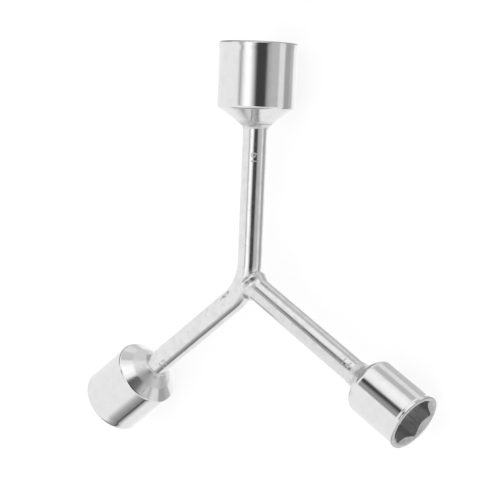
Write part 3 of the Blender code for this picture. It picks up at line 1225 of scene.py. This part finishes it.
@dataclass(frozen=True)
class JunctionWeld:
    """The bead all round the branch bar's end, from the bend's surface to the branch bar's."""

    skeleton: Skeleton
    # Half the height and half the width of the bead's edge on the bend
    half_height: float = 0.0038
    half_width: float = 0.0052
    # How far the bead runs up the branch bar, past that bar's end
    branch_leg: float = 0.0027
    # The hidden root: its radius, how far it lies behind the bar's end, and how far the bead's
    # underside is sunk under its toes
    root_radius: float = 0.0016
    root_depth: float = 0.002
    sink: float = 0.0003
    # How far the bead's plain face stands out at its middle
    crown: float = 0.0001
    # Ridge along the bead: its place from -1 at the bend to 1 at the branch bar, its width over
    # half the bead's, and its height on top of the joint, of which it has a share at the sides
    ridge_place: float = -0.8
    ridge_width: float = 0.7
    ridge_height: float = 0.0024
    ridge_side_share: float = 0.1
    ripples: int = 10
    ripple_share: float = 0.1
    # Angle round the branch bar, from its top, at which one ripple is highest
    first_ripple: float = -7.0
    # Middle radius and half the width of the flat ring that the bead is spun as
    lay_radius: float = 0.005
    lay_half: float = 0.0021
    steps: int = 288
    face_steps: int = 16
    # Halvings in the search for the bend's surface
    search_rounds: int = 40

    def on_bend(self, spoke: Vector) -> Vector:
        """Return where a line beside the branch bar's axis, and parallel to it, leaves the bend.

        Args:
            spoke: Vector from the branch bar's axis to that line.

        Returns:
            The point on the bent bar's surface.
        """
        bones = self.skeleton
        inside = bones.branch_root
        outside = BARS.diameter
        for _ in range(self.search_rounds):
            middle = (inside + outside) / 2
            offset = bones.bar_offset(bones.right.start + spoke + bones.right.along * middle)
            if offset.length < BARS.radius:
                inside = middle
            else:
                outside = middle
        return bones.right.start + spoke + bones.right.along * outside

    def section(self) -> list[Vector]:
        """Return the bead's section, without its ridge.

        Returns:
            Points across the bead from one toe to the other and back under it, with their height.
        """
        points = []
        for step in range(self.face_steps + 1):
            share = 2 * step / self.face_steps - 1
            place = self.lay_radius + self.lay_half * share
            points.append(Vector((place, self.crown * (1 - share**2))))
        for share in (1, 0, -1):
            points.append(Vector((self.lay_radius + self.lay_half * share, -self.sink)))
        return points

    def ridge(self, share: float, angle: float) -> float:
        """Return how far the ridge lifts the bead; at the joint's sides it is lower and calmer.

        Args:
            share: Place across the bead, from -1 at the bend to 1 at the branch bar.
            angle: Place round the branch bar, from its top.

        Returns:
            The lift over the bead's plain crown.
        """
        top = math.cos(angle) ** 2
        high = self.ridge_side_share + (1 - self.ridge_side_share) * top
        wave = math.cos((angle - math.radians(self.first_ripple)) * self.ripples) * top
        across = math.exp(-(((share - self.ridge_place) / self.ridge_width) ** 2)) * (1 - share**2)
        return self.ridge_height * across * high * (1 + self.ripple_share * wave)

    def move(self, point: Vector) -> Vector:
        """Return where a point of the ring that was spun goes on the two bars.

        Args:
            point: A point of the ring, whose section lies across its radius and along Z.

        Returns:
            The same point of the bead, in the row's frame.
        """
        bones = self.skeleton
        angle = math.atan2(point.y, point.x)
        share = (math.hypot(point.x, point.y) - self.lay_radius) / self.lay_half
        across = bones.right.along.cross(bones.up)
        high, wide = bones.up * math.cos(angle), across * math.sin(angle)
        bent_toe = self.on_bend(high * self.half_height + wide * self.half_width)
        end = bones.right.start + bones.right.along * (bones.branch_root + BARS.radius)
        branch_toe = end + (high + wide) * BARS.radius + bones.right.along * self.branch_leg
        out = (bones.bar_offset(bent_toe).normalized() + high + wide).normalized()
        chord = bent_toe.lerp(branch_toe, (share + 1) / 2)
        if point.z < 0:
            root = end + (high + wide) * self.root_radius - bones.right.along * self.root_depth
            return root + (chord - root) * abs(share) + out * point.z
        return chord + out * (point.z + self.ridge(share, angle))

    def build(self) -> None:
        """Model the bead, dress it, and hand it to the frame."""
        obj = solid("junction_weld_bead", spun(self.section(), self.steps, closed=True))
        dress(obj, (JUNCTION_PLATE,))
        hand_in(obj, self.move, Slot.WELD, "junction_weld")


@dataclass(frozen=True)
class Card:
    """One card of the light tent, by the directions that it covers as seen from the wrench."""

    azimuth: tuple[float, float]
    elevation: tuple[float, float]
    level: float
    softness: float = 5.0

    def feeds(self) -> dict[str, float]:
        """Return what the shared card group takes for this card.

        Returns:
            Values by the names of the group's inputs.
        """
        feeds = {"softness": self.softness}
        for angle, (low, high) in (("azimuth", self.azimuth), ("elevation", self.elevation)):
            feeds |= {f"{angle}_middle": (low + high) / 2, f"{angle}_half": (high - low) / 2}
        return feeds


# From the widest to the ones laid over them. Azimuth 0 is row +X and 90 is row +Y. Below the
# horizon the cards stand in for the floor, which glossy rays don't see: the bright card towards -X
# is a painted pool of light on it, and the dimmer bands at elevations -76 to -38, azimuths -60 to
# 134, are a painted shadow of the wrench on it.
TENT_CARDS = (
    Card((128, 232), (-110, -33), 1.10, 12),
    Card((-40, 128), (-110, -16), 0.88, 6),
    Card((-60, 100), (-76, -38), 0.56),
    Card((-60, 100), (-60, -38), 0.44, 4),
    Card((78, 134), (-64, -38), 0.64, 7),
    Card((-180, 180), (-110, -79), 1.08),
    Card((122, 160), (-36, 34), 0.36, 6),
    Card((-16, 54), (-17, 12), 0.58, 4),
    Card((50, 94), (-17, 4), 0.58, 4),
    Card((92, 106), (-17, 4), 0.69, 4),
    Card((-28, 16), (8, 22), 0.50),
    Card((52, 114), (14, 38), 1.12, 10),
    Card((54, 76), (10, 24), 1.26),
    Card((-70, 75), (68, 85), 1.30, 7),
    Card((100, 260), (77, 85), 0.38, 7),
    Card((112, 152), (56, 74), 0.36, 7),
    Card((90, 122), (49, 62), 0.06),
    Card((-82, -34), (-12, 40), 0.80, 6),
    Card((-128, -68), (-12, 22), 0.46, 9),
    Card((-128, -68), (-8, 9), 0.31, 6),
    Card((-128, -68), (-6, -1), 0.08, 2.5),
    Card((-121, -116), (-20, -8), 0.60, 2.5),
    Card((-109, -103), (-23, -13), 0.45, 2.5),
    Card((14, 42), (8, 26), 0.18, 6),
    Card((-26, 41), (21, 49), 0.08, 6),
    Card((-26, 30), (24, 58), 0.06, 11),
)


@dataclass(frozen=True)
class Studio:
    """The light tent all round the wrench, and the white floor under it."""

    cards: Sequence[Card] = TENT_CARDS
    tent_level: float = 0.985
    floor_size: float = 6.0
    floor_colour: tuple[float, ...] = (0.30, 0.30, 0.30, 1.0)
    floor_glow: float = 0.80

    def build(self) -> None:
        """Hang the tent and lay the floor."""
        self.hang_tent()
        self.lay_floor()

    def hang_tent(self) -> None:
        """Make the world: a pale tent with soft-edged cards, plain white for the camera."""
        world = bpy.data.worlds.new("light_tent")
        bpy.context.scene.world = world
        world.use_nodes = True
        wiring = Wiring(world.node_tree)
        background = world.node_tree.nodes["Background"]
        direction = wiring.add("ShaderNodeTexCoord").outputs["Generated"]
        parts = wiring.add("ShaderNodeSeparateXYZ")
        wiring.join(direction, parts.inputs["Vector"])
        azimuth = wiring.math("ARCTAN2", parts.outputs["Y"], parts.outputs["X"])
        elevation = wiring.math("ARCSINE", parts.outputs["Z"])
        angles = {
            "azimuth": wiring.math("DEGREES", azimuth),
            "elevation": wiring.math("DEGREES", elevation),
        }
        level = self.tent_level
        for card in self.cards:
            mask = wiring.group(Groups.card(), angles | card.feeds())["mask"]
            level = wiring.ramp(mask, CLEAR_TO_FULL, (level, card.level))
        wiring.join(level, background.inputs["Color"])
        white = wiring.made("ShaderNodeBackground", WHITE)
        seen = wiring.add("ShaderNodeLightPath").outputs["Is Camera Ray"]
        choice = wiring.made("ShaderNodeMixShader", seen, background.outputs[0], white)
        wiring.join(choice, world.node_tree.nodes["World Output"].inputs["Surface"])

    def lay_floor(self) -> None:
        """Make the floor: matt, lifted to white for the camera, with the wrench's shadow on it."""
        bm = bmesh.new()
        bmesh.ops.create_grid(bm, x_segments=1, y_segments=1, size=self.floor_size / 2)
        floor = solid("floor", bm)
        material = bpy.data.materials.new("floor_white")
        material.use_nodes = True
        material.node_tree.nodes.remove(material.node_tree.nodes["Principled BSDF"])
        wiring = Wiring(material.node_tree)
        matt = wiring.made("ShaderNodeBsdfDiffuse", self.floor_colour)
        seen = wiring.add("ShaderNodeLightPath").outputs["Is Camera Ray"]
        lift = wiring.math("MULTIPLY", seen, self.floor_glow)
        glow = wiring.made("ShaderNodeEmission", WHITE, lift)
        lit = wiring.made("ShaderNodeAddShader", matt, glow)
        under = wiring.add("ShaderNodeNewGeometry").outputs["Backfacing"]
        clear = wiring.made("ShaderNodeBsdfTransparent")
        sided = wiring.made("ShaderNodeMixShader", under, lit, clear)
        wiring.join(sided, material.node_tree.nodes["Material Output"].inputs["Surface"])
        floor.data.materials.append(material)
        # Glossy rays don't see the floor; the tent's cards below the horizon paint its reflection,
        # with a painted shadow of the wrench.
        floor.visible_glossy = False


@dataclass(frozen=True)
class Viewpoint:
    """The camera, placed in the frame of the Y and seen from the photograph's angle."""

    yaw: float = 40.767
    pitch: float = 4.854
    roll: float = -2.360
    distance: float = 0.487643
    shift_right: float = -0.000387
    shift_up: float = -0.012096
    lens: float = 107.91
    sensor: float = 36.0
    # How many times nearer and farther than the wrench the camera still sees
    clip_ratio: float = 100.0

    def build(self, skeleton: Skeleton) -> None:
        """Make the camera and use it.

        Args:
            skeleton: The arms' axes, whose plane the camera's angles are measured from.
        """
        data = bpy.data.cameras.new("camera")
        data.lens = self.lens
        data.sensor_width = self.sensor
        data.clip_start = self.distance / self.clip_ratio
        data.clip_end = self.distance * self.clip_ratio
        camera = bpy.data.objects.new("camera", data)
        bpy.context.scene.collection.objects.link(camera)
        yaw = Matrix.Rotation(math.radians(-self.yaw), 4, "Y")
        pitch = Matrix.Rotation(math.radians(self.pitch), 4, "X")
        roll = Matrix.Rotation(math.radians(self.roll), 4, "Z")
        turn = (roll @ pitch @ yaw).inverted()
        stand = Matrix.Translation((-self.shift_right, -self.shift_up, self.distance))
        camera.matrix_world = skeleton.matrix @ turn @ stand
        bpy.context.scene.camera = camera


def main() -> None:
    """Build the wrench over its frame, then the studio and the camera."""
    logging.basicConfig(level=logging.INFO, format="%(name)s: %(message)s")
    skeleton = Skeleton(frame["record"])
    for sizes, arm in zip(SOCKETS, skeleton.arms):
        Socket(sizes, arm).build()
        NeckWeld(sizes, arm).build()
    bars = Bars(skeleton)
    bars.build_bent()
    bars.build_branch()
    JunctionWeld(skeleton).build()
    Studio().build()
    Viewpoint().build(skeleton)
    bpy.context.scene.view_settings.view_transform = "Standard"


if __name__ == "__main__":
    main()
